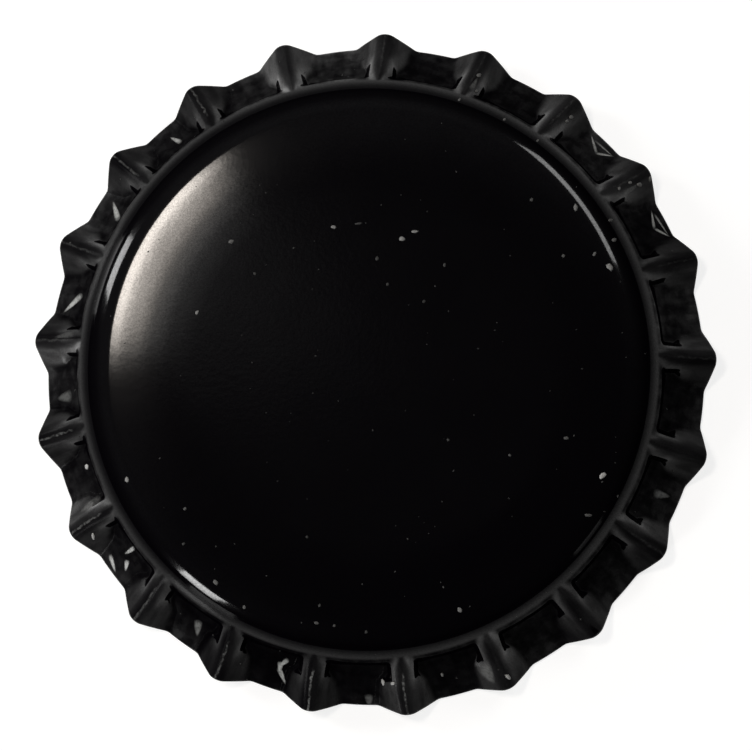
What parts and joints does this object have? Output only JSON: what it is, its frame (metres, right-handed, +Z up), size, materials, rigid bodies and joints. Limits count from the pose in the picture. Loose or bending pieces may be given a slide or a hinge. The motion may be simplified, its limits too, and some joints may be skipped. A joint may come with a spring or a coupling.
{
  "type": "crown bottle cap",
  "caption": "Crown bottle cap: a fluted black steel shell with a rounded panel, a flared skirt and a soft sealing liner inside.",
  "frame": {"origin": "centre of the plane that the skirt's edge stands on", "axes": "+Z up through the panel, +X along the ridge of one flute"},
  "size_m": [0.0319, 0.032, 0.006],
  "materials": {
    "black_lacquered_steel": "glossy black lacquer outside, with worn ridges; clear gold-grey lacquer over tin inside",
    "liner_compound": "soft moulded liner compound, off-white, satin"
  },
  "bodies": {
    "root": {"crown_shell": "black_lacquered_steel", "sealing_liner": "liner_compound"}
  },
  "joints": []
}
